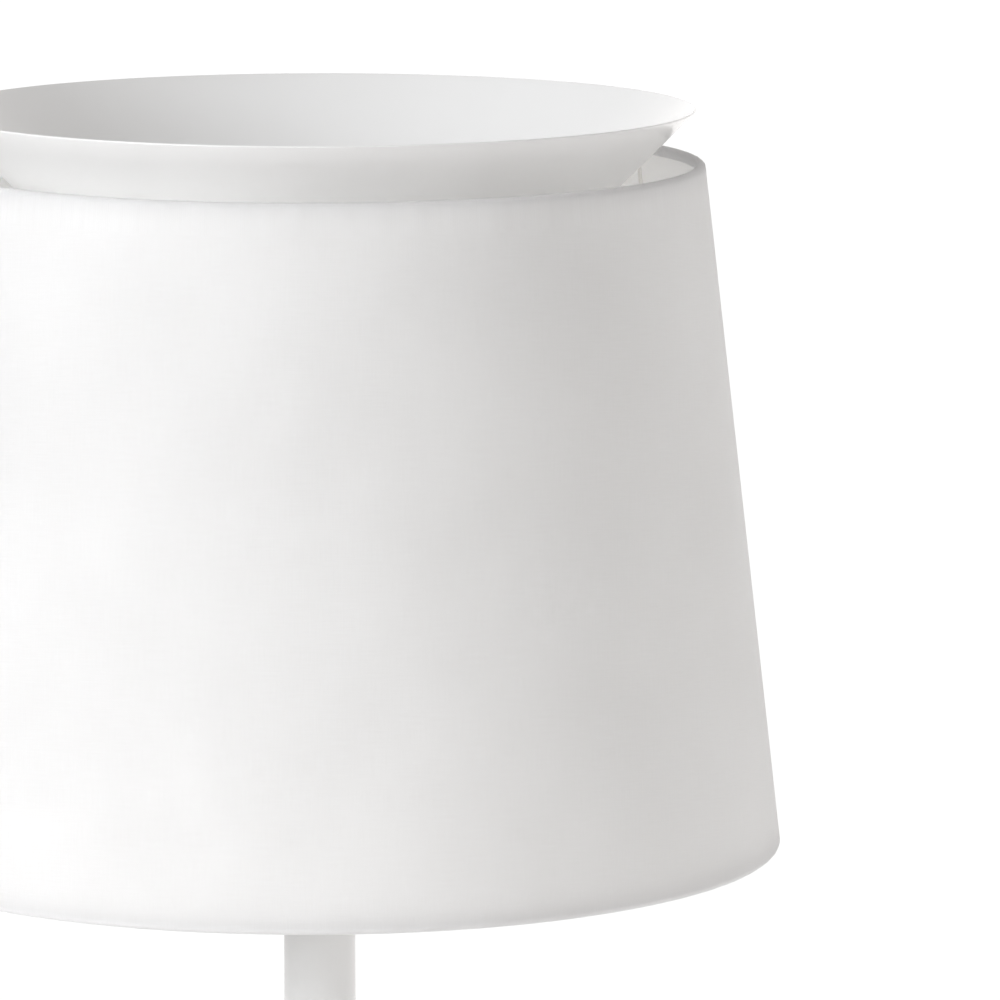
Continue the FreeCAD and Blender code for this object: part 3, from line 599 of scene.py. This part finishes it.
# how bright the surroundings are on each side, falling off with the square of the cosine
SURROUNDINGS = {"+X": 1.05, "-X": 0.29, "+Y": 1.5, "-Y": 0.74, "+Z": 0.1, "-Z": 0.4}
SURROUNDINGS_COLOUR = (1.0, 0.981, 0.966, 1.0)


def flat_emission(name, level):
    """A material that only glows, white."""
    glow = Shader(name)
    light = glow.node("ShaderNodeEmission")
    light.inputs["Color"].default_value = (1, 1, 1, 1)
    light.inputs["Strength"].default_value = level
    glow.link(light.outputs[0], glow.out.inputs["Surface"])
    return glow.material


def soft_surroundings():
    """A world of six soft sides, each with its own brightness, like a studio's white walls."""
    world = bpy.data.worlds.new("studio_world")
    bpy.context.scene.world = world
    world.use_nodes = True
    tree = world.node_tree
    background = tree.nodes["Background"]
    background.inputs["Color"].default_value = SURROUNDINGS_COLOUR
    towards = tree.nodes.new("ShaderNodeSeparateXYZ")
    tree.links.new(tree.nodes.new("ShaderNodeTexCoord").outputs["Generated"], towards.inputs[0])
    total = 0.0
    for side, level in SURROUNDINGS.items():
        total = side_light(tree, towards.outputs[side[1]], -1.0 if side[0] == "-" else 1.0, level, total)
    tree.links.new(total, background.inputs["Strength"])


def side_light(tree, along, sign, level, before):
    """Adds one side's light, level times the square of the positive part of sign times along."""
    facing = world_math(tree, "MAXIMUM", world_math(tree, "MULTIPLY", along, sign), 0.0)
    lobe = world_math(tree, "MULTIPLY", world_math(tree, "POWER", facing, 2.0), level)
    return world_math(tree, "ADD", lobe, before)


def world_math(tree, operation, a, b):
    """One math node; a and b are sockets or numbers."""
    made = tree.nodes.new("ShaderNodeMath")
    made.operation = operation
    for socket, value in zip(made.inputs, (a, b)):
        if isinstance(value, bpy.types.NodeSocket):
            tree.links.new(value, socket)
        else:
            socket.default_value = value
    return made.outputs[0]


def studio():
    """A pale floor that glows, a dome that only the camera sees and a soft key from the left."""
    bpy.ops.mesh.primitive_circle_add(vertices=128, radius=FLOOR_R, fill_type="NGON")
    floor = bpy.context.object
    floor.name = "studio_floor"
    ground = Shader("pale_floor")
    ground.set(Base_Color=FLOOR_COLOUR, Roughness=0.7)
    ground.set(Emission_Color=FLOOR_GLOW_COLOUR, Emission_Strength=FLOOR_GLOW)
    floor.data.materials.append(ground.material)
    bpy.ops.mesh.primitive_uv_sphere_add(segments=64, ring_count=32, radius=DOME_R)
    dome = bpy.context.object
    dome.name = "studio_dome"
    dome.data.materials.append(flat_emission("white_dome", DOME_LEVEL))
    dome.visible_diffuse = False
    dome.visible_glossy = False
    dome.visible_transmission = False
    dome.visible_shadow = False
    soft_surroundings()
    key_light()


def place(name, data, location, ahead):
    """Adds a lamp or a camera that looks along ahead."""
    made = bpy.data.objects.new(name, data)
    bpy.context.scene.collection.objects.link(made)
    made.location = location
    made.rotation_mode = "QUATERNION"
    made.rotation_quaternion = ahead.to_track_quat("-Z", "Y")
    return made


def key_light():
    data = bpy.data.lights.new("key", "AREA")
    data.shape = "DISK"
    data.size = KEY_SIZE
    data.energy = KEY_POWER
    data.color = KEY_COLOUR
    place("key", data, KEY_FROM, Vector(KEY_AIM) - Vector(KEY_FROM))


CAMERA_DISTANCE = 3.5851
CAMERA_OVER_SHADE_BOTTOM = 0.7047
CAMERA_PITCH = math.radians(8.508)
CAMERA_YAW = math.radians(1.4095)
CAMERA_LENS = 269.06


def camera():
    """A long lens from in front, looking a little down on the shade."""
    data = bpy.data.cameras.new("camera")
    data.sensor_width = 36.0
    data.lens = CAMERA_LENS
    data.clip_end = 100.0
    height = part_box("shade_fabric")[0].z + CAMERA_OVER_SHADE_BOTTOM
    level = math.cos(CAMERA_PITCH)
    ahead = Vector((math.sin(CAMERA_YAW) * level, math.cos(CAMERA_YAW) * level, -math.sin(CAMERA_PITCH)))
    bpy.context.scene.camera = place("camera", data, (0.0, -CAMERA_DISTANCE, height), ahead)


dress_cad_nodes()
shade_cloth()
reflector()
studio()
camera()
bpy.context.scene.view_settings.view_transform = "Standard"
bpy.context.scene.cycles.max_bounces = LIGHT_BOUNCES
bpy.context.scene.cycles.transmission_bounces = LIGHT_BOUNCES
